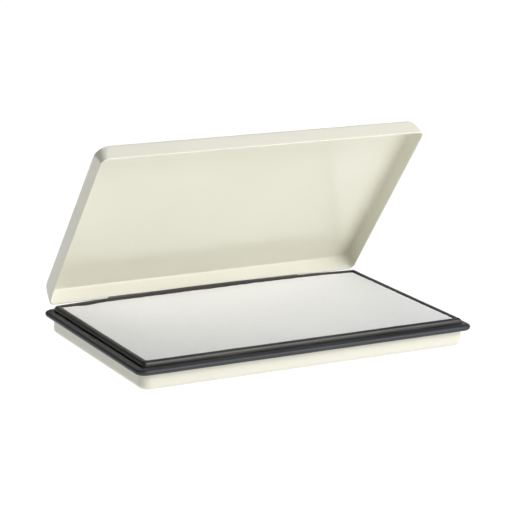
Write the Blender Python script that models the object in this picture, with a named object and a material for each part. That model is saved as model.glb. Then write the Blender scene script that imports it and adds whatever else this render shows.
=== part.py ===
"""Hinged metal-cased wet palette: tray, absorbent pad, moulded frame and a lid on two rolled hinges.

Units are metres, +Z is up, the hinged side is +Y and the origin is the middle of the tray's underside.
"""
import math

import bmesh
import bpy
from mathutils import Matrix, Vector

MM = 0.001

# Tray: a pressed sheet box, open at the top
TRAY_LENGTH = 160.0 * MM
TRAY_WIDTH = 94.3 * MM
TRAY_HEIGHT = 8.3 * MM
TRAY_CORNER = 4.5 * MM
TRAY_FOOT_RADIUS = 2.2 * MM
SHEET = 0.5 * MM

# Clearance between neighbouring pieces
GAP = 0.3 * MM
CORNER_STEPS = 9
EDGE_STEPS = 5

# Seal: a rubber ring round the tray's top edge; offsets are outward from the tray's outer wall
SEAL_REACH = 2.95 * MM
SEAL_BOTTOM = 7.4 * MM
SEAL_TOP = 10.2 * MM
SEAL_RADIUS = 1.3 * MM
SEAL_CORNER = 4.5 * MM
SEAL_WEB = 0.5 * MM
SEAL_WEB_INNER = -1.3 * MM

# Frame: a moulded ring that clamps the seal's web and holds the pad
FRAME_LIP_TOP = 12.45 * MM
FRAME_LIP_FOOT = -0.75 * MM
FRAME_LIP_RADIUS = 1.0 * MM
FRAME_LIP_CORNER = 1.6 * MM
FRAME_MOUTH_OFFSET = -3.0 * MM
FRAME_MOUTH_ROUND = 0.25 * MM
FRAME_MOUTH_CORNER = 1.0 * MM
FRAME_SKIRT_OUTER = -1.6 * MM
FRAME_SKIRT_CORNER = 2.9 * MM
FRAME_SKIRT_BOTTOM = 6.3 * MM

# Liner: a moulded basin that keeps the water off the steel
LINER_WALL = 0.7 * MM
LINER_TOP = 6.0 * MM
LINER_FOOT_RADIUS = 1.7 * MM

# Pad stack, from the liner's floor upward
BOARD_THICKNESS = 1.0 * MM
SPONGE_TOP = 8.4 * MM
PAD_TOP = 12.1 * MM
MEMBRANE_THICKNESS = 0.4 * MM
PAD_CORNER = 0.7 * MM
PAD_EDGE_ROUND = 0.3 * MM

# Lid: a pressed sheet cap, given in its closed position
LID_REACH = 0.35 * MM
LID_REAR_EXTRA = 1.2 * MM
LID_CORNER = 3.3 * MM
LID_TOP_CORNER = 6.8 * MM
LID_WALL_STEPS = 5
LID_FREE_EDGE = 10.5 * MM
LID_DEPTH = 8.05 * MM
LID_EDGE_RADIUS = 1.4 * MM
LID_OPEN_DEGREES = 53.9

# Hinges: rolled sheet leaves, a pin, and two studs welded to the outside of each wall
HINGE_AXIS_Y = 50.7 * MM
HINGE_AXIS_Z = 10.8 * MM
HINGE_SPACING = 74.0 * MM
LEAF_LENGTH = 24.0 * MM
LEAF_SHEET = 0.5 * MM
BARREL_RADIUS = 1.5 * MM
BARREL_WRAP_DEGREES = 285.0
BARREL_STEPS = 20
LID_BARREL_LENGTH = 9.0 * MM
BARREL_SIDE_GAP = 0.35 * MM
CUT_BEYOND = 2.0 * MM
PIN_RADIUS = 0.93 * MM
PIN_HEAD_RADIUS = 1.35 * MM
PIN_HEAD_LENGTH = 0.5 * MM
PIN_HEAD_EASE = 0.15 * MM
BASE_LEAF_OFF = 0.4 * MM
BASE_LEAF_BOTTOM = 2.4 * MM
BASE_LEAF_BEND_LOW = 5.8 * MM
BASE_LEAF_BEND_HIGH = 6.9 * MM
LID_LEAF_TOP = 16.2 * MM
STUD_SPACING = 15.0 * MM
STUD_SHANK = 0.8 * MM
STUD_HOLE = 1.05 * MM
STUD_HEAD = 1.4 * MM
STUD_HEAD_HEIGHT = 0.6 * MM
STUD_SEAT = 0.15 * MM
BASE_STUD_Z = 4.1 * MM
LID_STUD_Z = 14.2 * MM
ROUND_STEPS = 24
NOTCH_SIDE = 1.3 * MM
NOTCH_BACK = 0.35 * MM

HALF_LENGTH = TRAY_LENGTH / 2
HALF_WIDTH = TRAY_WIDTH / 2
SMOOTH_ANGLE = math.radians(35.0)
STUD_DOME = (0.0, 0.35, 0.7, 0.95)
HINGE_SIDES = (("left", -1), ("right", 1))


def clear_scene():
    for item in list(bpy.data.objects):
        bpy.data.objects.remove(item, do_unlink=True)


def make_material(name, colour, roughness, metallic=0.0):
    material = bpy.data.materials.new(name)
    material.use_nodes = True
    shader = material.node_tree.nodes["Principled BSDF"]
    shader.inputs["Base Color"].default_value = (*colour, 1.0)
    shader.inputs["Roughness"].default_value = roughness
    shader.inputs["Metallic"].default_value = metallic
    material.diffuse_color = (*colour, 1.0)
    return material


def add_mesh(name, verts, faces, material, round_edges=True):
    """Put one closed mesh in the scene, with its faces turned outward."""
    mesh = bpy.data.meshes.new(name)
    mesh.from_pydata(verts, [], faces)
    shape = bmesh.new()
    shape.from_mesh(mesh)
    bmesh.ops.recalc_face_normals(shape, faces=shape.faces)
    shape.to_mesh(mesh)
    shape.free()
    if material is not None:
        mesh.materials.append(material)
    if round_edges:
        mesh.shade_smooth()
        mesh.set_sharp_from_angle(angle=SMOOTH_ANGLE)
    item = bpy.data.objects.new(name, mesh)
    bpy.context.scene.collection.objects.link(item)
    return item


def arc(centre, radius, start, end, steps):
    """Points on a circle, from start to end in degrees, both ends included."""
    points = []
    for step in range(steps + 1):
        angle = math.radians(start + (end - start) * step / steps)
        points.append((centre[0] + radius * math.cos(angle), centre[1] + radius * math.sin(angle)))
    return points


def rounded_ring(offset, z, corner):
    """One level of the case outline, moved outward by offset."""
    half_x = HALF_LENGTH + offset - corner
    half_y = HALF_WIDTH + offset - corner
    ring = []
    for turn, (sign_x, sign_y) in enumerate(((1, 1), (-1, 1), (-1, -1), (1, -1))):
        centre = (sign_x * half_x, sign_y * half_y)
        for x, y in arc(centre, corner, 90.0 * turn, 90.0 * (turn + 1), CORNER_STEPS):
            ring.append((x, y, z))
    return ring


def sweep_outline(name, section, material, closed):
    """Carry a section of (offset, z, corner) points round the case outline.

    A closed section makes a frame; an open one is capped at both of its ends.
    """
    rings = [rounded_ring(*point) for point in section]
    count = len(rings[0])
    verts = [vert for ring in rings for vert in ring]
    faces = []
    pairs = len(rings) if closed else len(rings) - 1
    for level in range(pairs):
        low = level * count
        high = ((level + 1) % len(rings)) * count
        for step in range(count):
            after = (step + 1) % count
            faces.append((low + step, low + after, high + after, high + step))
    if not closed:
        faces.append(tuple(reversed(range(count))))
        faces.append(tuple(range((len(rings) - 1) * count, len(rings) * count)))
    return add_mesh(name, verts, faces, material)


def extrude_along_x(name, section, start, end, material):
    """A prism with its (y, z) section carried from start to end along X."""
    count = len(section)
    verts = [(start, y, z) for y, z in section] + [(end, y, z) for y, z in section]
    faces = [tuple(reversed(range(count))), tuple(range(count, 2 * count))]
    for step in range(count):
        after = (step + 1) % count
        faces.append((step, after, count + after, count + step))
    return add_mesh(name, verts, faces, material)


def turned(name, section, centre, axis, material):
    """A round solid: (distance along the axis, radius) points turned about X or Y."""
    along, across, height = (0, 1, 2) if axis == "X" else (1, 0, 2)
    verts = []
    for distance, radius in section:
        for step in range(ROUND_STEPS):
            angle = 2.0 * math.pi * step / ROUND_STEPS
            point = [0.0, 0.0, 0.0]
            point[along] = centre[along] + distance
            point[across] = centre[across] + radius * math.cos(angle)
            point[height] = centre[height] + radius * math.sin(angle)
            verts.append(tuple(point))
    faces = [tuple(reversed(range(ROUND_STEPS)))]
    for level in range(len(section) - 1):
        low = level * ROUND_STEPS
        high = low + ROUND_STEPS
        for step in range(ROUND_STEPS):
            after = (step + 1) % ROUND_STEPS
            faces.append((low + step, low + after, high + after, high + step))
    last = (len(section) - 1) * ROUND_STEPS
    faces.append(tuple(range(last, last + ROUND_STEPS)))
    return add_mesh(name, verts, faces, material)


def boxes_and_pegs(name, boxes, pegs):
    """One cutter mesh of boxes (low corner, high corner) and pegs lying along Y."""
    shape = bmesh.new()
    for low, high in boxes:
        middle = (Vector(low) + Vector(high)) / 2
        size = Vector(high) - Vector(low)
        placing = Matrix.Translation(middle) @ Matrix.Diagonal((*size, 1.0))
        bmesh.ops.create_cube(shape, size=1.0, matrix=placing)
    for centre, radius, length in pegs:
        placing = Matrix.Translation(centre) @ Matrix.Rotation(math.pi / 2, 4, "X")
        bmesh.ops.create_cone(shape, cap_ends=True, segments=ROUND_STEPS, radius1=radius,
                              radius2=radius, depth=length, matrix=placing)
    mesh = bpy.data.meshes.new(name)
    shape.to_mesh(mesh)
    shape.free()
    cutter = bpy.data.objects.new(name, mesh)
    cutter.hide_render = True
    cutter.display_type = "WIRE"
    bpy.context.scene.collection.objects.link(cutter)
    return cutter


def cut(item, cutter):
    modifier = item.modifiers.new("cut", "BOOLEAN")
    modifier.operation = "DIFFERENCE"
    modifier.solver = "EXACT"
    modifier.object = cutter


def hinge_centres():
    return [(side, sign * HINGE_SPACING / 2) for side, sign in HINGE_SIDES]


def stud_xs(centre_x):
    return [centre_x - STUD_SPACING / 2, centre_x + STUD_SPACING / 2]


def shell_section(top, reach, radius, sheet, corner_at, steps=1):
    """An open box's section from the outside of its floor, over its free edge, to the floor inside.

    corner_at gives the outer wall's corner radius at each height.
    """
    centre = (reach - radius, radius)
    wall = [radius + (top - radius) * step / steps for step in range(1, steps + 1)]
    section = arc(centre, radius, -90.0, 0.0, EDGE_STEPS)
    section += [(reach, z) for z in wall]
    section += [(reach - sheet, z) for z in reversed(wall)]
    section += arc(centre, radius - sheet, 0.0, -90.0, EDGE_STEPS)
    return [(offset, z, corner_at(z) + offset - reach) for offset, z in section]


def build_tray(material):
    section = shell_section(TRAY_HEIGHT, 0.0, TRAY_FOOT_RADIUS, SHEET, lambda z: TRAY_CORNER)
    sweep_outline("base_tray", section, material, closed=False)


def build_liner(material):
    reach = -SHEET - GAP
    floor = SHEET + GAP
    corner = TRAY_CORNER + reach
    section = shell_section(LINER_TOP - floor, reach, LINER_FOOT_RADIUS, LINER_WALL, lambda z: corner)
    section = [(offset, z + floor, radius) for offset, z, radius in section]
    sweep_outline("reservoir_liner", section, material, closed=False)


def build_frame(material):
    """The frame's section runs from the inner top edge of its lip, outward and down to its skirt."""
    mouth = FRAME_MOUTH_OFFSET
    ease = FRAME_MOUTH_ROUND
    web_top = TRAY_HEIGHT + GAP + SEAL_WEB
    section = [(mouth, FRAME_LIP_TOP - ease, FRAME_MOUTH_CORNER),
               (mouth + ease, FRAME_LIP_TOP, FRAME_MOUTH_CORNER + ease)]
    lip_centre = (FRAME_LIP_FOOT - FRAME_LIP_RADIUS, FRAME_LIP_TOP - FRAME_LIP_RADIUS)
    for offset, z in arc(lip_centre, FRAME_LIP_RADIUS, 90.0, 0.0, EDGE_STEPS):
        section.append((offset, z, FRAME_LIP_CORNER + offset - FRAME_LIP_FOOT))
    section += [(FRAME_LIP_FOOT, web_top + GAP, FRAME_LIP_CORNER),
                (FRAME_SKIRT_OUTER, web_top + GAP, FRAME_SKIRT_CORNER),
                (FRAME_SKIRT_OUTER, FRAME_SKIRT_BOTTOM, FRAME_SKIRT_CORNER),
                (mouth, FRAME_SKIRT_BOTTOM, FRAME_MOUTH_CORNER)]
    sweep_outline("pad_frame", section, material, closed=True)


def build_seal(material):
    """The seal's bead hugs the tray's wall and its thin web lies over the tray's edge."""
    web_low = TRAY_HEIGHT + GAP
    web_high = web_low + SEAL_WEB
    groove = FRAME_LIP_FOOT + GAP
    groove_corner = FRAME_LIP_CORNER + GAP
    growth = (SEAL_CORNER - groove_corner) / (SEAL_REACH - groove)
    centre = SEAL_REACH - SEAL_RADIUS
    bead = [(groove, web_high), (groove, SEAL_TOP)]
    bead += arc((centre, SEAL_TOP - SEAL_RADIUS), SEAL_RADIUS, 90.0, 0.0, EDGE_STEPS)
    bead += arc((centre, SEAL_BOTTOM + SEAL_RADIUS), SEAL_RADIUS, 0.0, -90.0, EDGE_STEPS)
    section = [(SEAL_WEB_INNER, web_low, TRAY_CORNER + SEAL_WEB_INNER),
               (SEAL_WEB_INNER, web_high, TRAY_CORNER + SEAL_WEB_INNER)]
    section += [(offset, z, groove_corner + growth * (offset - groove)) for offset, z in bead]
    section += [(GAP, SEAL_BOTTOM, TRAY_CORNER + GAP), (GAP, web_low, TRAY_CORNER + GAP)]
    seal = sweep_outline("seal_bead", section, material, closed=True)
    boxes = []
    half = LEAF_LENGTH / 2 + NOTCH_SIDE
    front = HINGE_AXIS_Y - BARREL_RADIUS - NOTCH_BACK
    for _, centre_x in hinge_centres():
        low = (centre_x - half, front, SEAL_BOTTOM - CUT_BEYOND)
        high = (centre_x + half, HALF_WIDTH + SEAL_REACH + CUT_BEYOND, SEAL_TOP + CUT_BEYOND)
        boxes.append((low, high))
    cut(seal, boxes_and_pegs("seal_notch_cutter", boxes, []))


def slab(name, offset, low, high, material):
    """A solid layer of the pad with its upper and lower edges slightly eased."""
    ease = PAD_EDGE_ROUND
    section = [(offset - ease, low, PAD_CORNER - ease), (offset, low + ease, PAD_CORNER),
               (offset, high - ease, PAD_CORNER), (offset - ease, high, PAD_CORNER - ease)]
    sweep_outline(name, section, material, closed=False)


def build_pad(board, sponge, felt, cloth):
    outer = FRAME_MOUTH_OFFSET - GAP
    inner = outer - MEMBRANE_THICKNESS
    layer = inner - GAP
    board_low = SHEET + GAP + LINER_WALL + GAP
    board_high = board_low + BOARD_THICKNESS
    under_membrane = PAD_TOP - MEMBRANE_THICKNESS
    ease = PAD_EDGE_ROUND
    slab("backing_board", layer, board_low, board_high, board)
    slab("sponge_core", layer, board_high + GAP, SPONGE_TOP, sponge)
    slab("felt_layer", layer, SPONGE_TOP + GAP, under_membrane - GAP, felt)
    corner = PAD_CORNER + MEMBRANE_THICKNESS
    section = [(outer - ease, PAD_TOP, corner - ease), (outer, PAD_TOP - ease, corner),
               (outer, board_low, corner), (inner, board_low, PAD_CORNER),
               (inner, under_membrane, PAD_CORNER)]
    sweep_outline("membrane_sheet", section, cloth, closed=False)


def hang_on_lid(items):
    """Parent the lid's pieces to an empty on the hinge axis and swing them open."""
    pivot = bpy.data.objects.new("lid_pivot", None)
    pivot.location = (0.0, HINGE_AXIS_Y, HINGE_AXIS_Z)
    bpy.context.scene.collection.objects.link(pivot)
    closed_to_pivot = Matrix.Translation((0.0, -HINGE_AXIS_Y, -HINGE_AXIS_Z))
    for item in items:
        item.parent = pivot
        item.data.transform(closed_to_pivot)
    pivot.rotation_euler = (-math.radians(LID_OPEN_DEGREES), 0.0, 0.0)


def lid_corner_at(depth):
    """The lid's corners are tight at its free edge and fuller where its walls meet its top."""
    share = 1.0 - depth / LID_DEPTH
    return LID_CORNER + (LID_TOP_CORNER - LID_CORNER) * share * share


def build_lid(material):
    """The lid reaches further back than the tray, over the seal's rear run."""
    top = LID_FREE_EDGE + LID_DEPTH
    section = shell_section(LID_DEPTH, LID_REACH, LID_EDGE_RADIUS, SHEET, lid_corner_at, LID_WALL_STEPS)
    section = [(offset, top - z, radius) for offset, z, radius in section]
    lid = sweep_outline("lid_shell", section, material, closed=False)
    for vertex in lid.data.vertices:
        if vertex.co.y > 0.0:
            vertex.co.y += LID_REAR_EXTRA
    return lid


def leaf_section(sheet_path, from_above):
    """A rolled leaf's (y, z) section: sheet_path is its axis-side face, free end first.

    The barrel wraps over the axis for the base leaf and under it for the lid leaf.
    """
    axis = (HINGE_AXIS_Y, HINGE_AXIS_Z)
    wrap = BARREL_WRAP_DEGREES if from_above else -BARREL_WRAP_DEGREES
    outer = arc(axis, BARREL_RADIUS, 180.0, 180.0 + wrap, BARREL_STEPS)
    inner = arc(axis, BARREL_RADIUS - LEAF_SHEET, 180.0 + wrap, 180.0, BARREL_STEPS)
    far = [(y - LEAF_SHEET, z) for y, z in sheet_path]
    return far + outer + inner + list(reversed(sheet_path))


def leaf_near_face():
    """The axis-side face of the flat sheet that each barrel is rolled from."""
    return HINGE_AXIS_Y - BARREL_RADIUS + LEAF_SHEET


def base_leaf_path():
    seat = HALF_WIDTH + BASE_LEAF_OFF + LEAF_SHEET
    return [(seat, BASE_LEAF_BOTTOM), (seat, BASE_LEAF_BEND_LOW), (leaf_near_face(), BASE_LEAF_BEND_HIGH)]


def barrel_box(start, end, low_z, high_z):
    reach = BARREL_RADIUS + CUT_BEYOND
    return ((start, HINGE_AXIS_Y - reach, low_z), (end, HINGE_AXIS_Y + reach, high_z))


def build_base_leaf(side, centre_x, material):
    """The base leaf keeps its two end barrels; the middle is cut away for the lid's barrel."""
    half = LEAF_LENGTH / 2
    name = f"base_hinge_leaf_{side}"
    leaf = extrude_along_x(name, leaf_section(base_leaf_path(), False), centre_x - half,
                           centre_x + half, material)
    clear = LID_BARREL_LENGTH / 2 + BARREL_SIDE_GAP
    low = HINGE_AXIS_Z - BARREL_RADIUS - GAP
    high = HINGE_AXIS_Z + BARREL_RADIUS + CUT_BEYOND
    box = barrel_box(centre_x - clear, centre_x + clear, low, high)
    sheet_y = HALF_WIDTH + BASE_LEAF_OFF + LEAF_SHEET / 2
    pegs = [((x, sheet_y, BASE_STUD_Z), STUD_HOLE, 2 * CUT_BEYOND) for x in stud_xs(centre_x)]
    cut(leaf, boxes_and_pegs(f"base_leaf_cutter_{side}", [box], pegs))


def build_lid_leaf(side, centre_x, material):
    """The lid leaf keeps its middle barrel; both ends are cut away for the base's barrels."""
    half = LEAF_LENGTH / 2
    name = f"lid_hinge_leaf_{side}"
    leaf = extrude_along_x(name, leaf_section([(leaf_near_face(), LID_LEAF_TOP)], True), centre_x - half,
                           centre_x + half, material)
    keep = LID_BARREL_LENGTH / 2
    beyond = half + CUT_BEYOND
    top = HINGE_AXIS_Z + BARREL_RADIUS + GAP
    low = HINGE_AXIS_Z - BARREL_RADIUS - CUT_BEYOND
    boxes = [barrel_box(centre_x - beyond, centre_x - keep, low, top),
             barrel_box(centre_x + keep, centre_x + beyond, low, top)]
    sheet_y = leaf_near_face() - LEAF_SHEET / 2
    pegs = [((x, sheet_y, LID_STUD_Z), STUD_HOLE, 2 * CUT_BEYOND) for x in stud_xs(centre_x)]
    cutter = boxes_and_pegs(f"lid_leaf_cutter_{side}", boxes, pegs)
    cut(leaf, cutter)
    return [leaf, cutter]


def build_pin(side, centre_x, material):
    half = LEAF_LENGTH / 2 + GAP
    end = half + PIN_HEAD_LENGTH
    ease = PIN_HEAD_EASE
    section = [(-end, PIN_HEAD_RADIUS - ease), (-end + ease, PIN_HEAD_RADIUS), (-half, PIN_HEAD_RADIUS),
               (-half, PIN_RADIUS), (half, PIN_RADIUS), (half, PIN_HEAD_RADIUS),
               (end - ease, PIN_HEAD_RADIUS), (end, PIN_HEAD_RADIUS - ease)]
    centre = (centre_x, HINGE_AXIS_Y, HINGE_AXIS_Z)
    turned(f"hinge_pin_{side}", section, centre, "X", material)


def stud(name, x, z, wall_face, leaf_face, material):
    """A stud along Y: its foot is at a sheet wall and its domed head is just off the hinge leaf."""
    section = [(wall_face + STUD_SEAT, STUD_SHANK), (leaf_face + STUD_SEAT, STUD_SHANK)]
    for share in STUD_DOME:
        radius = STUD_HEAD * math.sqrt(1.0 - share * share)
        section.append((leaf_face + STUD_SEAT + share * STUD_HEAD_HEIGHT, radius))
    return turned(name, section, (x, 0.0, z), "Y", material)


def build_studs(side, centre_x, material):
    lid_items = []
    base_face = HALF_WIDTH + BASE_LEAF_OFF + LEAF_SHEET
    lid_face = HALF_WIDTH + LID_REACH + LID_REAR_EXTRA
    for number, x in enumerate(stud_xs(centre_x), start=1):
        stud(f"base_stud_{side}_{number}", x, BASE_STUD_Z, HALF_WIDTH, base_face, material)
        lid_items.append(stud(f"lid_stud_{side}_{number}", x, LID_STUD_Z, lid_face, leaf_near_face(),
                              material))
    return lid_items


def main():
    clear_scene()
    enamel = (0.83, 0.81, 0.72)
    steel = (0.55, 0.55, 0.54)
    build_tray(make_material("tray_enamel", enamel, 0.35))
    build_liner(make_material("liner_plastic", (0.75, 0.76, 0.76), 0.5))
    board = make_material("board_plastic", (0.12, 0.12, 0.13), 0.6)
    sponge = make_material("sponge_foam", (0.86, 0.83, 0.7), 0.95)
    felt = make_material("felt_wool", (0.8, 0.8, 0.78), 0.95)
    cloth = make_material("membrane_cloth", (0.9, 0.9, 0.88), 0.85)
    build_pad(board, sponge, felt, cloth)
    build_frame(make_material("frame_moulding", (0.035, 0.035, 0.038), 0.4))
    build_seal(make_material("seal_rubber", (0.04, 0.04, 0.045), 0.55))
    lid_items = [build_lid(make_material("lid_enamel", enamel, 0.35))]
    for side, centre_x in hinge_centres():
        build_base_leaf(side, centre_x, make_material(f"base_leaf_steel_{side}", steel, 0.35, 1.0))
        lid_items += build_lid_leaf(side, centre_x, make_material(f"lid_leaf_steel_{side}", steel, 0.35, 1.0))
        build_pin(side, centre_x, make_material(f"pin_steel_{side}", steel, 0.25, 1.0))
        lid_items += build_studs(side, centre_x, make_material(f"stud_steel_{side}", steel, 0.3, 1.0))
    hang_on_lid(lid_items)


main()
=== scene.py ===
"""Looks for the hinged metal-cased wet palette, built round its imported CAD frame.

Units are metres in the part's own frame: +Z up, the hinged side is +Y, and the origin is the
middle of the tray's underside. The lid's shell is made closed and then swung open.
"""

import math

import bmesh
import bpy
from mathutils import Matrix, Vector, noise


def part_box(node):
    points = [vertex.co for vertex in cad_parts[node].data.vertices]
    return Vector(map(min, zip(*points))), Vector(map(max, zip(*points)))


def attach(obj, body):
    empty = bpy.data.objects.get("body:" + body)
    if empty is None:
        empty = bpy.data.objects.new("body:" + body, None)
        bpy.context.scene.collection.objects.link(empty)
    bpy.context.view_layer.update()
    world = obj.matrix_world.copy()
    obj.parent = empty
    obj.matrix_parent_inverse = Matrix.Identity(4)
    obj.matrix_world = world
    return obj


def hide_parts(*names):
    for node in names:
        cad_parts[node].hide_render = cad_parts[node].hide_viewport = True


MM = 0.001
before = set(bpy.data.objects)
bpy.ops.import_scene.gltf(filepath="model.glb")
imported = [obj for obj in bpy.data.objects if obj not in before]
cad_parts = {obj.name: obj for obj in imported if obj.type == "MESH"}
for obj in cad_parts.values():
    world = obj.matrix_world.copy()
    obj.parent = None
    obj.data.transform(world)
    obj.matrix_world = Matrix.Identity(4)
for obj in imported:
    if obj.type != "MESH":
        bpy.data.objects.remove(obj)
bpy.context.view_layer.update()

# The case, as in the CAD part
HALF_LENGTH = 80.0 * MM
HALF_WIDTH = 47.15 * MM
SHEET = 0.5 * MM
GAP = 0.3 * MM
TRAY_CORNER = 4.5 * MM
TRAY_HEIGHT = 8.3 * MM
TRAY_FOOT_RADIUS = 2.2 * MM
AXIS_Y = 50.7 * MM
AXIS_Z = 10.8 * MM
LID_OPEN = math.radians(53.9)
LID_FREE_EDGE = 10.5 * MM
LID_DEPTH = 8.05 * MM
LID_TOP = LID_FREE_EDGE + LID_DEPTH
LID_REACH = 0.35 * MM
LID_REAR_EXTRA = 1.2 * MM
LID_EDGE_RADIUS = 1.4 * MM
LID_CORNER = 3.3 * MM
LID_TOP_CORNER = 6.8 * MM
LID_DISH = 0.15 * MM
LID_DISH_DEPTH = 1.0 * MM

# The rolled edges and corners of both shells, and how far in from the wall their floors are ringed
FREE_EDGE_ROUND = 0.2 * MM
FREE_EDGE_STEPS = 3
SMALLEST_CORNER = 0.8 * MM
FLOOR_RINGS = (34.0 * MM, 20.0 * MM, 9.0 * MM, 3.0 * MM)

# Seal: offsets are outward from the tray's outer wall. Its top is domed, where the CAD's is flat
SEAL_REACH = 2.95 * MM
SEAL_BOTTOM = 7.4 * MM
SEAL_TOP = 10.2 * MM
SEAL_RADIUS = 1.3 * MM
SEAL_CREST = 0.5 * MM
SEAL_CORNER = 4.5 * MM
SEAL_WEB = 0.5 * MM
SEAL_WEB_INNER = -1.3 * MM
SEAL_NICK = 0.15 * MM

# Room cut in the seal round each hinge leaf
NOTCH_SIDE = 1.3 * MM
NOTCH_FRONT = 1.85 * MM
NOTCH_BEHIND = 4.0 * MM
NOTCH_LOW = 5.0 * MM
NOTCH_HIGH = 12.0 * MM

# Frame. Its lip is rounder than the CAD's
LIP_TOP = 12.45 * MM
LIP_FOOT = -0.75 * MM
LIP_RADIUS = 1.7 * MM
LIP_CORNER = 1.6 * MM
LIP_TIGHTEST_CORNER = 0.3 * MM
MOUTH_OFFSET = -3.0 * MM
MOUTH_ROUND = 0.25 * MM
MOUTH_CORNER = 1.0 * MM
MOUTH_MIDDLE = 9.6 * MM
MOUTH_STEPS = 4
SKIRT_OUTER = -1.6 * MM
SKIRT_CORNER = 2.9 * MM
SKIRT_BOTTOM = 6.3 * MM
FRAME_NICK = 0.1 * MM

# How finely the outline is divided
CORNER_STEPS = 14
LONG_STEPS = 64
SHORT_STEPS = 36
EDGE_STEPS = 8
WALL_STEPS = 6

# The rear rail stands up a little in its middle, and the mouldings are never quite straight
REAR_BOW = 1.6 * MM
REAR_BOW_REACH = 10.0 * MM
REAR_BOW_BLEND = 5.0 * MM
WAVER = 0.17 * MM
FRAME_LIFT_SHARE = 0.6
SEAL_SWAY_SHARE = 0.8
SEAL_LIFT_SHARE = 0.4

# Each unevenness is the length it changes over, in metres, and a seed
FRAME_LIFT_WAVES = (0.02, 3.0)
FRAME_SWAY_WAVES = (0.015, 7.0)
SEAL_WAVES = (0.012, 11.0)
SPONGE_WAVES = (0.006, 1.0)
FELT_WAVES = (0.01, 5.0)
PUCKER_WAVES = (0.004, 2.0)
CLOTH_WAVES = (0.03, 9.0)

# The cloth's rear edge: how much higher it lies on the right, and how far it dips near the left end
REAR_FULL = 0.35 * MM
REAR_FULL_GROWTH = 3.0
REAR_FULL_FADE = 5.0
REAR_SLACK = 0.40 * MM
REAR_SLACK_PLACE = 0.84
REAR_SLACK_WIDTH = 0.07
REAR_FOLLOW = 0.30
REAR_FOLLOW_BASE = 0.04
REAR_EDGE_REACH = 12.0 * MM

# The lid's rear wall is sprung out and down a little at its two ends, outside the hinges
FLARE_OUT = 0.50 * MM
FLARE_DOWN = 0.20 * MM
FLARE_FROM_X = 50.0 * MM
FLARE_GROWTH_X = 8.0 * MM
FLARE_FROM_Y = 43.0 * MM
FLARE_GROWTH_Y = 4.0 * MM

# The foam and felt slabs, which stand a little inside their CAD boxes
SLAB_GAP = 0.15 * MM
SLAB_BULGE = 0.15 * MM
SLAB_CORNER_CUT = 0.3 * MM
SPONGE_SETTLE = 0.12 * MM
SPONGE_UNEVEN = 0.10 * MM
SPONGE_STEPS = (150, 84, 6)
FELT_SETTLE = 0.1 * MM
FELT_UNEVEN = 0.08 * MM
FELT_STEPS = (120, 68, 3)

# The cloth
CLOTH_THICK = 0.35 * MM
CLOTH_TURN = 0.7 * MM
CLOTH_COLUMNS = 220
CLOTH_ROWS = 124
CLOTH_BEND_STEPS = 6
CLOTH_DROP_STEPS = 5
CLOTH_SETTLE = 0.18 * MM
CLOTH_UNEVEN = 0.10 * MM
CLOTH_SIDE_SHARE = 0.3
CLOTH_CORNER_CUT = 0.35 * MM
CLOTH_HEM_CLEAR = 0.05 * MM
PUCKER_DEPTH = 0.16 * MM
PUCKER_REACH = 9.0 * MM
PUCKER_FADE = 2.2

# Easing of the carried-over CAD pieces, and the angles above which an edge stays sharp
LEAF_BEVEL = 0.08 * MM
BEVEL_SEGMENTS = 2
BEVEL_FROM_DEGREES = 35.0
WELD_DISTANCE = 0.001 * MM
SHARP_DEGREES = 40.0
SLAB_SHARP_DEGREES = 80.0

# Camera, from the angles of the object's straight edges
CAMERA_AZIMUTH = -29.24
CAMERA_ELEVATION = 14.63
CAMERA_ROLL = 1.52
CAMERA_TARGET = (-0.00147, 0.00029, 0.0384)
CAMERA_DISTANCE = 0.92126
CAMERA_LENS = 145.77
SENSOR = 36.0
CLIP_START = 0.01
CLIP_END = 50.0

# Studio
WHITE = (1.0, 1.0, 1.0)
COOL_WHITE = (0.985, 0.99, 1.03)
AIM = (0.0, 0.0, 0.03)
WORLD_STRENGTH = 0.01
FLOOR_HALF = 6.0
FLOOR_DROP = 0.05 * MM
FLOOR_GLOW = 0.97

# Colours, as linear red, green and blue; a pair is the darker and the lighter patches
CREAM = ((0.82, 0.805, 0.672), (0.845, 0.83, 0.70))
CREAM_SPECK = (0.72, 0.71, 0.58)
CREAM_RUBBED = (0.68, 0.67, 0.56)
FRAME_BLACK = ((0.016, 0.016, 0.011), (0.026, 0.026, 0.019))
SEAL_BLACK = ((0.018, 0.020, 0.025), (0.028, 0.031, 0.038))
DUST = (0.22, 0.22, 0.21)
WORN_BLACK = (0.10, 0.10, 0.105)
CLOTH_WHITE = ((0.93, 0.93, 0.925), (0.955, 0.955, 0.95))
THREAD_SHADE = (0.74, 0.74, 0.73)
SLUB = (0.70, 0.70, 0.68)
# The sponge and felt pairs are the painted shade deep in the cells and the colour of the tops
SPONGE_PIT_SHADE_TONES = ((0.45, 0.42, 0.32), (0.80, 0.77, 0.62))
FELT_FIBRE_SHADE_TONES = ((0.60, 0.60, 0.58), (0.82, 0.82, 0.80))
LINER_GREY = ((0.62, 0.63, 0.63), (0.70, 0.71, 0.71))
BOARD_BLACK = ((0.07, 0.07, 0.075), (0.10, 0.10, 0.105))
SHEET_STEEL = (0.56, 0.56, 0.55)
STUD_STEEL = (0.50, 0.50, 0.49)

# Sizes in the materials
THREAD_PITCH = 0.00042
THREAD_WANDER = 0.6
LINES_ALONG_X = (1.0, 8.0, 8.0)
LINES_EVEN = (4.0, 4.0, 4.0)

# Input and output places of Blender's colour mix node
MIX_FACTOR, MIX_FIRST, MIX_SECOND, MIX_RESULT = 0, 6, 7, 2

CORNER_SIGNS = ((1, 1), (-1, 1), (-1, -1), (1, -1))


# ---------------------------------------------------------------- meshes

def arc(centre, radius, start, end, steps):
    """Points along a circle from one angle to another, in degrees."""
    points = []
    for step in range(steps + 1):
        angle = math.radians(start + (end - start) * step / steps)
        points.append((centre[0] + radius * math.cos(angle),
                       centre[1] + radius * math.sin(angle)))
    return points


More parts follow.
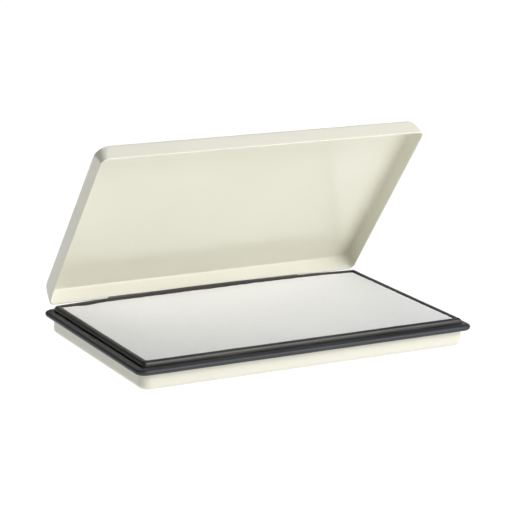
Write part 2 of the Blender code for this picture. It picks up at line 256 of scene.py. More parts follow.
def outline(offset, corner):
    """Points round the case at an offset from the tray's wall, with its straights divided too."""
    half_x = HALF_LENGTH + offset
    half_y = HALF_WIDTH + offset
    points = []
    for turn, (sign_x, sign_y) in enumerate(CORNER_SIGNS):
        centre = (sign_x * (half_x - corner), sign_y * (half_y - corner))
        bend = arc(centre, corner, 90.0 * turn, 90.0 * (turn + 1), CORNER_STEPS)
        points += bend
        steps = LONG_STEPS if turn % 2 == 0 else SHORT_STEPS
        following = CORNER_SIGNS[(turn + 1) % len(CORNER_SIGNS)]
        goal = (following[0] * (half_x - corner), following[1] * (half_y - corner))
        start = Vector(bend[-1])
        along = Vector((goal[0] - centre[0], goal[1] - centre[1]))
        for step in range(1, steps):
            points.append(tuple(start + along * (step / steps)))
    return points


def finished(name, mesh, smooth_angle=SHARP_DEGREES):
    """A smooth-shaded object with outward normals, made from a mesh."""
    shape = bmesh.new()
    shape.from_mesh(mesh)
    bmesh.ops.recalc_face_normals(shape, faces=shape.faces)
    shape.to_mesh(mesh)
    shape.free()
    mesh.shade_smooth()
    mesh.set_sharp_from_angle(angle=math.radians(smooth_angle))
    piece = bpy.data.objects.new(name, mesh)
    bpy.context.scene.collection.objects.link(piece)
    return piece


def swept(name, section, closed, shift=None):
    """Carry (offset, z, corner) points round the outline; shift(x, y, z) may move each point."""
    verts = []
    for offset, z, corner in section:
        for x, y in outline(offset, corner):
            verts.append(shift(x, y, z) if shift else (x, y, z))
    count = len(verts) // len(section)
    faces = []
    for level in range(len(section) if closed else len(section) - 1):
        low = level * count
        high = ((level + 1) % len(section)) * count
        for step in range(count):
            after = (step + 1) % count
            faces.append((low + step, low + after, high + after, high + step))
    if not closed:
        faces.append(tuple(reversed(range(count))))
        faces.append(tuple(range((len(section) - 1) * count, len(section) * count)))
    mesh = bpy.data.meshes.new(name)
    mesh.from_pydata(verts, [], faces)
    return finished(name, mesh)


def wander(x, y, waves):
    """A smooth, repeatable value near -1 to 1; waves is the length it changes over and a seed."""
    size, seed = waves
    return noise.noise(Vector((x / size, y / size, seed)))


def ride(piece, body, slot, material, *nodes):
    """Give a rebuilt piece its material and body, and hide the CAD nodes it replaces."""
    piece.data.materials.clear()
    piece.data.materials.append(material)
    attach(piece, body)
    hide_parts(*nodes)
    return piece


def swing(piece):
    """Swing a piece of the lid from its closed place to its open one."""
    to_axis = Matrix.Translation((0.0, -AXIS_Y, -AXIS_Z))
    turn = Matrix.Rotation(-LID_OPEN, 4, "X")
    piece.data.transform(to_axis.inverted() @ turn @ to_axis)
    return piece


# ---------------------------------------------------------------- materials

class Nodes:
    """A small helper that adds nodes to one material."""

    def __init__(self, name):
        self.material = bpy.data.materials.new(name)
        self.material.use_nodes = True
        self.tree = self.material.node_tree
        self.shader = self.tree.nodes["Principled BSDF"]
        coords = self.tree.nodes.new("ShaderNodeTexCoord")
        self.place = coords.outputs["Object"]

    def link(self, source, target):
        self.tree.links.new(source, target)

    def noise(self, scale, detail=4.0, roughness=0.5, stretch=None):
        node = self.tree.nodes.new("ShaderNodeTexNoise")
        node.inputs["Scale"].default_value = scale
        node.inputs["Detail"].default_value = detail
        node.inputs["Roughness"].default_value = roughness
        source = self.place
        if stretch:
            mapping = self.tree.nodes.new("ShaderNodeMapping")
            mapping.inputs["Scale"].default_value = stretch
            self.link(self.place, mapping.inputs["Vector"])
            source = mapping.outputs["Vector"]
        self.link(source, node.inputs["Vector"])
        return node.outputs["Fac"]

    def voronoi(self, scale):
        node = self.tree.nodes.new("ShaderNodeTexVoronoi")
        node.inputs["Scale"].default_value = scale
        self.link(self.place, node.inputs["Vector"])
        return node.outputs["Distance"]

    def bands(self, direction, pitch, distortion):
        node = self.tree.nodes.new("ShaderNodeTexWave")
        node.bands_direction = direction
        node.inputs["Scale"].default_value = math.pi / (10.0 * pitch)
        node.inputs["Distortion"].default_value = distortion
        node.inputs["Detail Scale"].default_value = 2.0
        self.link(self.place, node.inputs["Vector"])
        return node.outputs["Fac"]

    def math(self, operation, first, second):
        node = self.tree.nodes.new("ShaderNodeMath")
        node.operation = operation
        for socket, value in zip(node.inputs, (first, second)):
            if isinstance(value, (int, float)):
                socket.default_value = value
            else:
                self.link(value, socket)
        return node.outputs[0]

    def ramp(self, source, stops):
        """Each stop is (place, colour), and a colour may be one grey value."""
        node = self.tree.nodes.new("ShaderNodeValToRGB")
        elements = node.color_ramp.elements
        while len(elements) < len(stops):
            elements.new(0.5)
        for element, (place, colour) in zip(elements, stops):
            element.position = place
            shade = colour if isinstance(colour, tuple) else (colour, colour, colour)
            element.color = (*shade, 1.0)
        self.link(source, node.inputs["Fac"])
        return node.outputs["Color"]

    def spread(self, source, low, high):
        node = self.tree.nodes.new("ShaderNodeMapRange")
        node.inputs["To Min"].default_value = low
        node.inputs["To Max"].default_value = high
        self.link(source, node.inputs["Value"])
        return node.outputs["Result"]

    def mix(self, factor, first, second, blend="MIX"):
        """Each input may be an output to link, a colour or one value."""
        node = self.tree.nodes.new("ShaderNodeMix")
        node.data_type = "RGBA"
        node.blend_type = blend
        for place, value in ((MIX_FACTOR, factor), (MIX_FIRST, first), (MIX_SECOND, second)):
            socket = node.inputs[place]
            if isinstance(value, tuple):
                socket.default_value = (*value, 1.0)
            elif isinstance(value, (int, float)):
                socket.default_value = value
            else:
                self.link(value, socket)
        return node.outputs[MIX_RESULT]

    def edges(self):
        """Near 1 on sharp outward edges and near 0 elsewhere."""
        geometry = self.tree.nodes.new("ShaderNodeNewGeometry")
        return self.ramp(geometry.outputs["Pointiness"], [(0.5, 0.0), (0.6, 1.0)])

    def bump(self, *layers):
        """Each layer is (height output, depth in metres)."""
        normal = None
        for height, depth in layers:
            node = self.tree.nodes.new("ShaderNodeBump")
            node.inputs["Distance"].default_value = depth
            self.link(height, node.inputs["Height"])
            if normal:
                self.link(normal, node.inputs["Normal"])
            normal = node.outputs["Normal"]
        self.link(normal, self.shader.inputs["Normal"])

    def set(self, **values):
        names = {"specular": "Specular IOR Level", "coat": "Coat Weight",
                 "coat_roughness": "Coat Roughness", "sheen": "Sheen Weight",
                 "sheen_roughness": "Sheen Roughness", "metallic": "Metallic",
                 "roughness": "Roughness"}
        for name, value in values.items():
            self.shader.inputs[names[name]].default_value = value


def enamel(name, light):
    """Stoved cream enamel on pressed steel: a slight orange peel, soft waves and rubbed edges. A
    light below 1 darkens the whole cream as painted shade.
    """
    n = Nodes(name)
    cloudy = n.noise(scale=22.0, detail=3.0)
    fine = n.noise(scale=700.0, detail=3.0, roughness=0.6)
    # light scales the cream; the tray's 0.875 is painted shade, a darker copy of the lid's enamel
    low, high = (tuple(light * part for part in tone) for tone in CREAM)
    cream = n.ramp(cloudy, [(0.3, low), (0.7, high)])
    specks = n.ramp(fine, [(0.68, 0.0), (0.8, 1.0)])
    speckled = n.mix(n.math("MULTIPLY", specks, 0.25), cream, CREAM_SPECK)
    rubs = n.spread(n.noise(scale=160.0, detail=3.0), low=0.0, high=0.5)
    rubbed = n.math("MULTIPLY", n.edges(), rubs)
    n.link(n.mix(rubbed, speckled, CREAM_RUBBED), n.shader.inputs["Base Color"])
    gloss = n.noise(scale=60.0, detail=5.0, roughness=0.6)
    n.link(n.spread(gloss, low=0.26, high=0.42), n.shader.inputs["Roughness"])
    n.set(coat=0.5, coat_roughness=0.12, specular=0.5)
    n.bump((n.noise(scale=26.0, detail=2.0), 0.0005), (n.noise(scale=900.0, detail=2.0), 0.00001))
    return n.material


def black_moulding(name, low, high, roughness, grain):
    """Black moulded plastic or rubber: fine mould grain, faint rub marks and a trace of dust."""
    n = Nodes(name)
    tone = n.ramp(n.noise(scale=40.0, detail=4.0), [(0.3, low), (0.7, high)])
    dust = n.ramp(n.noise(scale=1400.0, detail=2.0, roughness=0.7), [(0.66, 0.0), (0.78, 1.0)])
    dusty = n.mix(n.math("MULTIPLY", dust, 0.18), tone, DUST)
    worn = n.math("MULTIPLY", n.edges(), 0.35)
    n.link(n.mix(worn, dusty, WORN_BLACK), n.shader.inputs["Base Color"])
    marks = n.noise(scale=120.0, detail=4.0, roughness=0.6, stretch=(1.0, 5.0, 5.0))
    n.link(n.spread(marks, roughness - 0.07, roughness + 0.1), n.shader.inputs["Roughness"])
    n.set(specular=0.5)
    n.bump((n.noise(scale=30.0, detail=2.0), 0.0003), (n.noise(scale=grain, detail=3.0), 0.000015))
    return n.material


def cloth(name):
    """A fine plain weave of bleached thread, slightly uneven in colour."""
    n = Nodes(name)
    warp = n.bands("X", THREAD_PITCH, THREAD_WANDER)
    weft = n.bands("Y", THREAD_PITCH, THREAD_WANDER)
    weave = n.math("MAXIMUM", n.math("MULTIPLY", warp, 0.92), weft)
    cloudy = n.noise(scale=18.0, detail=4.0, roughness=0.55)
    fine = n.noise(scale=420.0, detail=3.0, roughness=0.6)
    low, high = CLOTH_WHITE
    tone = n.ramp(cloudy, [(0.3, low), (0.7, high)])
    threads = n.mix(n.spread(weave, low=0.0, high=0.11), WHITE, THREAD_SHADE)
    woven = n.mix(1.0, tone, threads, "MULTIPLY")
    slubs = n.math("MULTIPLY", n.ramp(fine, [(0.45, 0.0), (0.75, 1.0)]), 0.10)
    n.link(n.mix(slubs, woven, SLUB), n.shader.inputs["Base Color"])
    n.link(n.spread(fine, low=0.78, high=0.95), n.shader.inputs["Roughness"])
    n.set(sheen=0.15, sheen_roughness=0.4, specular=0.25)
    n.bump((n.noise(scale=45.0, detail=3.0), 0.0004), (weave, 0.00006), (fine, 0.00003))
    return n.material


def foam(name, dark, light, cell, depth):
    """Open-cell foam or felt: pits or fibres at the cell size, with painted shade darkening their
    depths.
    """
    n = Nodes(name)
    pits = n.voronoi(1.0 / cell)
    tangle = n.noise(scale=0.6 / cell, detail=5.0, roughness=0.7)
    height = n.math("MULTIPLY", pits, tangle)
    # Painted shade: the ramp darkens the low parts of the pits and fibres
    n.link(n.ramp(height, [(0.05, dark), (0.4, light)]), n.shader.inputs["Base Color"])
    n.link(n.spread(tangle, low=0.85, high=1.0), n.shader.inputs["Roughness"])
    n.set(sheen=0.3, specular=0.1)
    n.bump((height, depth), (n.noise(scale=60.0, detail=3.0), 0.0003))
    return n.material


def steel(name, tone, roughness, stretch):
    """Drawn or rolled steel with lines along one axis, dulled in patches."""
    n = Nodes(name)
    lines = n.noise(scale=260.0, detail=5.0, roughness=0.6, stretch=stretch)
    patches = n.noise(scale=140.0, detail=3.0)
    dark = tuple(0.72 * part for part in tone)
    lined = n.ramp(lines, [(0.3, dark), (0.65, tone)])
    dull = n.math("MULTIPLY", n.ramp(patches, [(0.5, 0.0), (0.75, 1.0)]), 0.35)
    dulled = n.mix(dull, lined, tuple(0.6 * part for part in tone))
    n.link(dulled, n.shader.inputs["Base Color"])
    n.link(n.spread(lines, roughness - 0.06, roughness + 0.12), n.shader.inputs["Roughness"])
    n.set(metallic=1.0)
    n.bump((lines, 0.00001))
    return n.material


def plain_moulding(name, low, high, roughness):
    """A plain moulded plastic with flow marks and a fine satin grain."""
    n = Nodes(name)
    tone = n.ramp(n.noise(scale=35.0, detail=4.0), [(0.3, low), (0.7, high)])
    n.link(tone, n.shader.inputs["Base Color"])
    marks = n.noise(scale=180.0, detail=4.0, roughness=0.6, stretch=(1.0, 3.0, 1.0))
    n.link(n.spread(marks, roughness - 0.05, roughness + 0.1), n.shader.inputs["Roughness"])
    n.bump((n.noise(scale=1500.0, detail=2.0), 0.00001), (marks, 0.00002))
    return n.material


# ---------------------------------------------------------------- sheet-metal shells

def shell_section(top, reach, radius, corner_at):
    """An open box's section with an eased free edge, from under its floor to the floor inside.

    corner_at(z) gives the outer wall's corner radius at each height.
    """
    centre = (reach - radius, radius)
    rolled = FREE_EDGE_ROUND
    wall = [radius + (top - rolled - radius) * step / WALL_STEPS for step in range(1, WALL_STEPS)]
    section = [(reach - radius - inset, 0.0) for inset in FLOOR_RINGS]
    section += arc(centre, radius, -90.0, 0.0, EDGE_STEPS)
    section += [(reach, z) for z in wall]
    section += arc((reach - rolled, top - rolled), rolled, 0.0, 90.0, FREE_EDGE_STEPS)
    section += arc((reach - SHEET + rolled, top - rolled), rolled, 90.0, 180.0, FREE_EDGE_STEPS)
    section += [(reach - SHEET, z) for z in reversed(wall)]
    section += arc(centre, radius - SHEET, 0.0, -90.0, EDGE_STEPS)
    section += [(reach - radius - inset, SHEET) for inset in reversed(FLOOR_RINGS)]
    return [(offset, z, max(SMALLEST_CORNER, corner_at(z) + offset - reach))
            for offset, z in section]


def build_tray(material):
    section = shell_section(TRAY_HEIGHT, 0.0, TRAY_FOOT_RADIUS, lambda z: TRAY_CORNER)
    tray = swept("tray_pressed_shell", section, False)
    ride(tray, "base", "tray_enamel", material, "base_tray")


def ease(value):
    """0 below 0, 1 above 1 and smooth between."""
    value = max(0.0, min(1.0, value))
    return value * value * (3.0 - 2.0 * value)


def rear_flare(x, y, z):
    """Near 1 at the rear wall's free edge, outside the hinges, and 0 elsewhere."""
    outside = ease((abs(x) - FLARE_FROM_X) / FLARE_GROWTH_X)
    rear = ease((y - FLARE_FROM_Y) / FLARE_GROWTH_Y)
    low = ease((LID_TOP - LID_EDGE_RADIUS - z) / (LID_DEPTH - LID_EDGE_RADIUS))
    return outside * rear * low


def build_lid(material):
    """The lid's corners are tight at its free edge and fuller where the walls meet the top."""
    def corner_at(depth):
        return LID_CORNER + (LID_TOP_CORNER - LID_CORNER) * (1.0 - depth / LID_DEPTH) ** 2

    section = [(offset, LID_TOP - z, radius) for offset, z, radius in
               shell_section(LID_DEPTH, LID_REACH, LID_EDGE_RADIUS, corner_at)]

    def shaped(x, y, z):
        """The top is a little hollow, the rear stands further back and its ends are flared."""
        middle = max(0.0, 1.0 - (x / HALF_LENGTH) ** 2) * max(0.0, 1.0 - (y / HALF_WIDTH) ** 2)
        top_share = max(0.0, (z - LID_TOP + LID_DISH_DEPTH) / LID_DISH_DEPTH)
        back = LID_REAR_EXTRA if y > 0 else 0.0
        flare = rear_flare(x, y, z)
        lowered = LID_DISH * middle * top_share
        return (x, y + back + FLARE_OUT * flare, z - lowered - FLARE_DOWN * flare)

    lid = swing(swept("lid_pressed_shell", section, False, shaped))
    ride(lid, "lid", "lid_enamel", material, "lid_shell")


# ---------------------------------------------------------------- frame and seal

def rear_bow(x, y):
    """How far the rear rail is lifted at a point: most in its middle, not at the other rails."""
    if y < HALF_WIDTH - REAR_BOW_REACH:
        return 0.0
    along = min(1.0, abs(x) / HALF_LENGTH)
    near = min(1.0, (y - HALF_WIDTH + REAR_BOW_REACH) / REAR_BOW_BLEND)
    return REAR_BOW * math.cos(along * math.pi / 2) * near


def frame_shift(x, y, z):
    """The moulding's own unevenness, which grows towards the top of its lip."""
    high = max(0.0, min(1.0, (z - SEAL_TOP) / (LIP_TOP - LIP_RADIUS - SEAL_TOP)))
    uneven = FRAME_LIFT_SHARE * WAVER * wander(x, y, FRAME_LIFT_WAVES) * high
    sway = WAVER * wander(x, y, FRAME_SWAY_WAVES) * high
    return (x + sway, y + sway, z + (rear_bow(x, y) * high + uneven))


def seal_shift(x, y, z):
    sway = SEAL_SWAY_SHARE * WAVER * wander(x, y, SEAL_WAVES)
    return (x, y, z + SEAL_LIFT_SHARE * sway)


def build_frame(material):
    under = TRAY_HEIGHT + 2 * GAP + SEAL_WEB
    nick = FRAME_NICK
    mouth = arc((MOUTH_OFFSET + MOUTH_ROUND, LIP_TOP - MOUTH_ROUND), MOUTH_ROUND, 180.0, 90.0,
                MOUTH_STEPS)
    lip = arc((LIP_FOOT - LIP_RADIUS, LIP_TOP - LIP_RADIUS), LIP_RADIUS, 90.0, 0.0, EDGE_STEPS)
    section = [(MOUTH_OFFSET, MOUTH_MIDDLE, MOUTH_CORNER)]
    section += [(offset, z, MOUTH_CORNER + offset - MOUTH_OFFSET) for offset, z in mouth]
    section += [(offset, z, max(LIP_TIGHTEST_CORNER, LIP_CORNER + offset - LIP_FOOT))
                for offset, z in lip]
    section += [(LIP_FOOT, SEAL_TOP, LIP_CORNER), (LIP_FOOT, under + nick, LIP_CORNER),
                (LIP_FOOT - nick, under, LIP_CORNER), (SKIRT_OUTER, under, SKIRT_CORNER),
                (SKIRT_OUTER, SKIRT_BOTTOM + nick, SKIRT_CORNER),
                (SKIRT_OUTER - nick, SKIRT_BOTTOM, SKIRT_CORNER - nick),
                (MOUTH_OFFSET + nick, SKIRT_BOTTOM, MOUTH_CORNER),
                (MOUTH_OFFSET, SKIRT_BOTTOM + nick, MOUTH_CORNER)]
    piece = swept("pad_frame_moulding", section, True, frame_shift)
    ride(piece, "base", "frame_moulding", material, "pad_frame")


def build_seal(material):
    web_low = TRAY_HEIGHT + GAP
    web_high = web_low + SEAL_WEB
    groove = LIP_FOOT + GAP
    groove_corner = LIP_CORNER + GAP
    nick = SEAL_NICK
    spread = (SEAL_CORNER - groove_corner) / (SEAL_REACH - groove)
    section = [(SEAL_WEB_INNER, web_low, TRAY_CORNER + SEAL_WEB_INNER),
               (SEAL_WEB_INNER, web_high, TRAY_CORNER + SEAL_WEB_INNER)]
    middle = SEAL_TOP - SEAL_RADIUS
    line = [(groove, web_high), (groove, SEAL_TOP - 2 * nick),
            (groove + nick / 2, SEAL_TOP - nick), (groove + 2 * nick, SEAL_TOP - nick / 2),
            (SEAL_CREST - 2 * nick, SEAL_TOP)]
    line += [(SEAL_CREST + (SEAL_REACH - SEAL_CREST) * across, middle + SEAL_RADIUS * up)
             for across, up in arc((0.0, 0.0), 1.0, 90.0, 0.0, EDGE_STEPS)]
    line += arc((SEAL_REACH - SEAL_RADIUS, SEAL_BOTTOM + SEAL_RADIUS), SEAL_RADIUS, 0.0, -90.0,
                EDGE_STEPS)
    section += [(offset, z, groove_corner + spread * (offset - groove)) for offset, z in line]
    section += [(GAP + nick, SEAL_BOTTOM, TRAY_CORNER + GAP + nick),
                (GAP, SEAL_BOTTOM + nick, TRAY_CORNER + GAP),
                (GAP, web_low, TRAY_CORNER + GAP)]
    piece = swept("seal_bead_ring", section, True, seal_shift)
    notch(piece)
    ride(piece, "base", "seal_rubber", material, "seal_bead")


def notch(piece):
    """Cut the bead back at each hinge, so that the leaf can pass."""
    shape = bmesh.new()
    for side in ("left", "right"):
        leaf_low, leaf_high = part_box(f"base_hinge_leaf_{side}")
        low = Vector((leaf_low.x - NOTCH_SIDE, AXIS_Y - NOTCH_FRONT, NOTCH_LOW))
        high = Vector((leaf_high.x + NOTCH_SIDE, AXIS_Y + NOTCH_BEHIND, NOTCH_HIGH))
        placing = Matrix.Translation((low + high) / 2) @ Matrix.Diagonal((*(high - low), 1.0))
        bmesh.ops.create_cube(shape, size=1.0, matrix=placing)
    mesh = bpy.data.meshes.new("seal_notch_boxes")
    shape.to_mesh(mesh)
    shape.free()
    boxes = bpy.data.objects.new("seal_notch_boxes", mesh)
    bpy.context.scene.collection.objects.link(boxes)
    modifier = piece.modifiers.new("notch", "BOOLEAN")
    modifier.solver = "EXACT"
    modifier.object = boxes
    apply_modifiers(piece)
    bpy.data.objects.remove(boxes)


def apply_modifiers(piece):
    """Make the modifiers' result the piece's own mesh."""
    graph = bpy.context.evaluated_depsgraph_get()
    mesh = bpy.data.meshes.new_from_object(piece.evaluated_get(graph))
    piece.modifiers.clear()
    piece.data = mesh


# ---------------------------------------------------------------- the pad

def pad_grid(name, half_x, half_y, low, top_at, bulge, steps):
    """A closed soft slab: a divided top and underside joined by sides that bulge."""
    columns, rows, layers = steps
    verts = []
    index = {}

    def vertex(i, j, k):
        if (i, j, k) not in index:
            u = -1.0 + 2.0 * i / columns
            v = -1.0 + 2.0 * j / rows
            x = half_x * u
            y = half_y * v
            height = k / layers
            z = low + (top_at(x, y) - low) * height
            swell = bulge * math.sin(math.pi * height)
            on_x = abs(i * 2 - columns) == columns
            on_y = abs(j * 2 - rows) == rows
            if on_x:
                x += math.copysign(swell, u)
            if on_y:
                y += math.copysign(swell, v)
            if on_x and on_y:
                x -= math.copysign(SLAB_CORNER_CUT, u)
                y -= math.copysign(SLAB_CORNER_CUT, v)
            index[(i, j, k)] = len(verts)
            verts.append((x, y, z))
        return index[(i, j, k)]

    faces = []
    for i in range(columns):
        for j in range(rows):
            for k in (0, layers):
                faces.append((vertex(i, j, k), vertex(i + 1, j, k),
                              vertex(i + 1, j + 1, k), vertex(i, j + 1, k)))
    for k in range(layers):
        for i in range(columns):
            for j in (0, rows):
                faces.append((vertex(i, j, k), vertex(i + 1, j, k),
                              vertex(i + 1, j, k + 1), vertex(i, j, k + 1)))
        for j in range(rows):
            for i in (0, columns):
                faces.append((vertex(i, j, k), vertex(i, j + 1, k),
                              vertex(i, j + 1, k + 1), vertex(i, j, k + 1)))
    mesh = bpy.data.meshes.new(name)
    mesh.from_pydata(verts, [], faces)
    return finished(name, mesh, SLAB_SHARP_DEGREES)


def build_soft_layers(sponge_material, felt_material):
    low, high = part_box("sponge_core")

    def sponge_top(x, y):
        return high.z - SPONGE_SETTLE + SPONGE_UNEVEN * wander(x, y, SPONGE_WAVES)

    sponge = pad_grid("sponge_block", high.x - SLAB_GAP, high.y - SLAB_GAP, low.z, sponge_top,
                      SLAB_BULGE, SPONGE_STEPS)
    ride(sponge, "base", "sponge_foam", sponge_material, "sponge_core")
    felt_low, felt_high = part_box("felt_layer")

    def felt_top(x, y):
        return felt_high.z - FELT_SETTLE + FELT_UNEVEN * wander(x, y, FELT_WAVES)

    felt = pad_grid("felt_wick", felt_high.x - SLAB_GAP, felt_high.y - SLAB_GAP, felt_low.z,
                    felt_top, SLAB_BULGE, FELT_STEPS)
    ride(felt, "base", "felt_wool", felt_material, "felt_layer")


def rear_edge_lift(x, y, half_x, half_y):
    """The cloth's rear edge follows the bowed rail, fuller on the right and slack at the left."""
    along = max(-1.0, min(1.0, x / half_x))
    bowed = REAR_BOW * (REAR_FOLLOW * math.cos(along * math.pi / 2) - REAR_FOLLOW_BASE)
    grown = max(0.0, min(1.0, REAR_FULL_GROWTH * along))
    full = REAR_FULL * grown * min(1.0, REAR_FULL_FADE * (1.0 - along))
    slack = REAR_SLACK * math.exp(-((along + REAR_SLACK_PLACE) / REAR_SLACK_WIDTH) ** 2)
    return (bowed + full - slack) * math.exp(-max(0.0, half_y - y) / REAR_EDGE_REACH)


def build_membrane(material):
    """The cloth over the pad: a stretched sheet that puckers a little where its edges turn down."""
    low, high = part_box("membrane_sheet")
    half_x = high.x
    half_y = high.y
    turn = CLOTH_TURN
    drop = high.z - low.z - turn

    def lay(s, half):
        """Distance along the cloth from its middle, to (place across, place down)."""
        side = math.copysign(1.0, s)
        run = abs(s)
        flat = half - turn
        bend = turn * math.pi / 2
        if run <= flat:
            return side * run, 0.0
        if run <= flat + bend:
            angle = (run - flat) / turn
            return side * (flat + turn * math.sin(angle)), turn * (1.0 - math.cos(angle))
        return side * half, turn + run - flat - bend

    def stations(half, count):
        """Positions along the cloth, close together where it turns down."""
        flat = half - turn
        bend = turn * math.pi / 2
        inside = [flat * math.sin(math.pi / 2 * i / count) for i in range(count + 1)]
        over = [flat + bend * i / CLOTH_BEND_STEPS for i in range(1, CLOTH_BEND_STEPS + 1)]
        down = [flat + bend + drop * i / CLOTH_DROP_STEPS for i in range(1, CLOTH_DROP_STEPS + 1)]
        half_list = inside + over + down
        return [-value for value in reversed(half_list[1:])] + half_list

    xs = stations(half_x, CLOTH_COLUMNS // 2)
    ys = stations(half_y, CLOTH_ROWS // 2)
    verts = []
    for t in ys:
        for s in xs:
            x, down_x = lay(s, half_x)
            y, down_y = lay(t, half_y)
            down = max(down_x, down_y)
            inner_x = max(0.0, (half_x - abs(x)) / PUCKER_REACH)
            inner_y = max(0.0, (half_y - abs(y)) / PUCKER_REACH)
            edge = math.exp(-min(inner_x, inner_y) * PUCKER_FADE)
            pucker = PUCKER_DEPTH * edge * wander(x, y, PUCKER_WAVES)
            rise = CLOTH_UNEVEN * wander(x, y, CLOTH_WAVES)
            if down_x > 0 and down_y > 0:
                x -= math.copysign(CLOTH_CORNER_CUT, x)
                y -= math.copysign(CLOTH_CORNER_CUT, y)
            lift = rear_edge_lift(x, y, half_x, half_y)
            share = 1.0 if down < turn else CLOTH_SIDE_SHARE
            z = high.z - CLOTH_SETTLE - down + lift + (pucker + rise) * share
            verts.append((x, y, max(low.z + CLOTH_HEM_CLEAR, z)))
    wide = len(xs)
    faces = []
    for j in range(len(ys) - 1):
        for i in range(wide - 1):
            a = j * wide + i
            faces.append((a, a + 1, a + 1 + wide, a + wide))
    mesh = bpy.data.meshes.new("membrane_cloth")
    mesh.from_pydata(verts, [], faces)
    mesh.shade_smooth()
    piece = bpy.data.objects.new("membrane_cloth", mesh)
    bpy.context.scene.collection.objects.link(piece)
    solid = piece.modifiers.new("cloth_thickness", "SOLIDIFY")
    solid.thickness = CLOTH_THICK
    solid.offset = -1.0
    ride(piece, "base", "membrane_cloth", material, "membrane_sheet")


# ---------------------------------------------------------------- carried-over CAD pieces

def dress(node, material, bevel=0.0):
    """Give a CAD node its material and ease its edges."""
    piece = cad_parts[node]
    piece.data.materials.clear()
    piece.data.materials.append(material)
    weld = piece.modifiers.new("weld", "WELD")
    weld.merge_threshold = WELD_DISTANCE
    if bevel:
        edge = piece.modifiers.new("eased_edges", "BEVEL")
        edge.width = bevel
        edge.segments = BEVEL_SEGMENTS
        edge.limit_method = "ANGLE"
        edge.angle_limit = math.radians(BEVEL_FROM_DEGREES)
    piece.data.shade_smooth()
    piece.data.set_sharp_from_angle(angle=math.radians(SHARP_DEGREES))


# ---------------------------------------------------------------- studio

def build_floor():
    """A pale sheet that glows a little, so that it renders as a plain white ground."""
    n = Nodes("floor_paper")
    tone = n.ramp(n.noise(scale=3.0, detail=3.0), [(0.3, 0.10), (0.7, 0.12)])
    n.link(tone, n.shader.inputs["Base Color"])
    n.set(roughness=0.9, specular=0.1)
    n.shader.inputs["Emission Color"].default_value = (*WHITE, 1.0)
    n.shader.inputs["Emission Strength"].default_value = FLOOR_GLOW
    mesh = bpy.data.meshes.new("floor")
    corners = [(-FLOOR_HALF, -FLOOR_HALF, 0), (FLOOR_HALF, -FLOOR_HALF, 0),
               (FLOOR_HALF, FLOOR_HALF, 0), (-FLOOR_HALF, FLOOR_HALF, 0)]
    mesh.from_pydata(corners, [], [(0, 1, 2, 3)])
    floor = bpy.data.objects.new("floor", mesh)
    floor.location.z = -FLOOR_DROP
    mesh.materials.append(n.material)
    bpy.context.scene.collection.objects.link(floor)


def area_light(name, place, size, watts, target=AIM, colour=WHITE):
    data = bpy.data.lights.new(name, "AREA")
    data.shape = "RECTANGLE"
    data.size, data.size_y = size
    data.energy = watts
    data.color = colour
    light = bpy.data.objects.new(name, data)
    light.location = place
    light.rotation_mode = "QUATERNION"
    light.rotation_quaternion = (Vector(target) - Vector(place)).to_track_quat("-Z", "Y")
    bpy.context.scene.collection.objects.link(light)


def build_lights():
    world = bpy.data.worlds.new("studio")
    world.use_nodes = True
    background = world.node_tree.nodes["Background"]
    background.inputs["Color"].default_value = (*WHITE, 1.0)
    background.inputs["Strength"].default_value = WORLD_STRENGTH
    bpy.context.scene.world = world
    area_light("front_high", place=(0.42, -0.85, 0.80), size=(0.95, 0.6), watts=12.0,
               colour=COOL_WHITE)
    area_light("front_low", place=(0.45, -1.1, 0.25), size=(0.9, 0.3), watts=3.5,
               target=(0.0, 0.0, 0.04))
    area_light("back_right", place=(0.85, 0.95, 0.30), size=(0.9, 0.5), watts=1.6)
    area_light("back_left", place=(-0.35, 1.1, 0.50), size=(1.0, 0.8), watts=0.4)
    area_light("overhead", place=(0.35, -0.3, 1.3), size=(1.0, 1.0), watts=0.9,
               target=(0.0, 0.0, 0.0))
    area_light("back_high", place=(0.15, 1.0, 1.15), size=(0.8, 0.5), watts=5.0)
    settings = bpy.context.scene.view_settings
    settings.view_transform = "Standard"
    settings.look = "None"


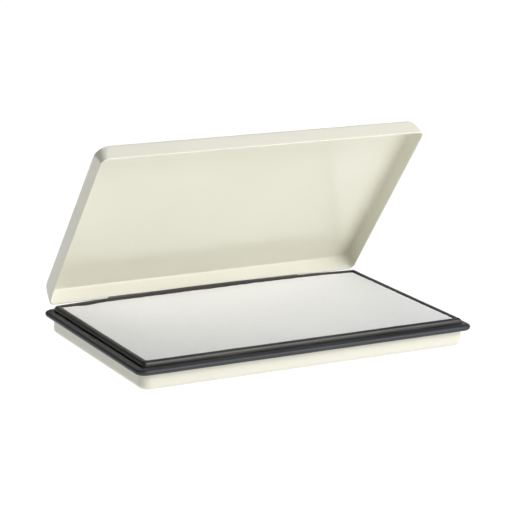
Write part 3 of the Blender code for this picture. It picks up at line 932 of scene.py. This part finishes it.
def build_camera():
    azimuth = math.radians(CAMERA_AZIMUTH)
    elevation = math.radians(CAMERA_ELEVATION)
    roll = math.radians(CAMERA_ROLL)
    back = Vector((math.sin(azimuth) * math.cos(elevation),
                   -math.cos(azimuth) * math.cos(elevation), math.sin(elevation)))
    right = (-back).cross(Vector((0.0, 0.0, 1.0))).normalized()
    up = back.cross(right)
    across = right * math.cos(roll) + up * math.sin(roll)
    upward = -right * math.sin(roll) + up * math.cos(roll)
    data = bpy.data.cameras.new("camera")
    data.lens = CAMERA_LENS
    data.sensor_width = SENSOR
    data.clip_start = CLIP_START
    data.clip_end = CLIP_END
    camera = bpy.data.objects.new("camera", data)
    axes = Matrix((across, upward, back)).transposed().to_4x4()
    camera.matrix_world = Matrix.Translation(Vector(CAMERA_TARGET) + back * CAMERA_DISTANCE) @ axes
    bpy.context.scene.collection.objects.link(camera)
    bpy.context.scene.camera = camera


def main():
    build_camera()
    build_lights()
    build_floor()
    # Painted shade: the tray gets a copy of the lid's enamel darkened by 12.5%, to tone down the
    # light on it
    build_tray(enamel("enamel_tray_painted_shade", light=0.875))
    build_lid(enamel("enamel_lid", light=1.0))
    build_frame(black_moulding("frame_black", *FRAME_BLACK, roughness=0.36, grain=1800.0))
    build_seal(black_moulding("seal_black", *SEAL_BLACK, roughness=0.48, grain=1400.0))
    build_soft_layers(foam("sponge_cells", *SPONGE_PIT_SHADE_TONES, cell=0.0009, depth=0.0003),
                      foam("felt_fibres", *FELT_FIBRE_SHADE_TONES, cell=0.0005, depth=0.0002))
    build_membrane(cloth("cloth_white"))
    dress("reservoir_liner", plain_moulding("liner_grey", *LINER_GREY, roughness=0.5))
    dress("backing_board", plain_moulding("board_black", *BOARD_BLACK, roughness=0.6))
    leaf = steel("hinge_sheet_steel", SHEET_STEEL, roughness=0.36, stretch=LINES_ALONG_X)
    pin = steel("pin_wire", SHEET_STEEL, roughness=0.28, stretch=LINES_ALONG_X)
    stud = steel("stud_head", STUD_STEEL, roughness=0.34, stretch=LINES_EVEN)
    for side in ("left", "right"):
        dress(f"base_hinge_leaf_{side}", leaf, LEAF_BEVEL)
        dress(f"lid_hinge_leaf_{side}", leaf, LEAF_BEVEL)
        dress(f"hinge_pin_{side}", pin)
        for number in (1, 2):
            dress(f"base_stud_{side}_{number}", stud)
            dress(f"lid_stud_{side}_{number}", stud)


main()
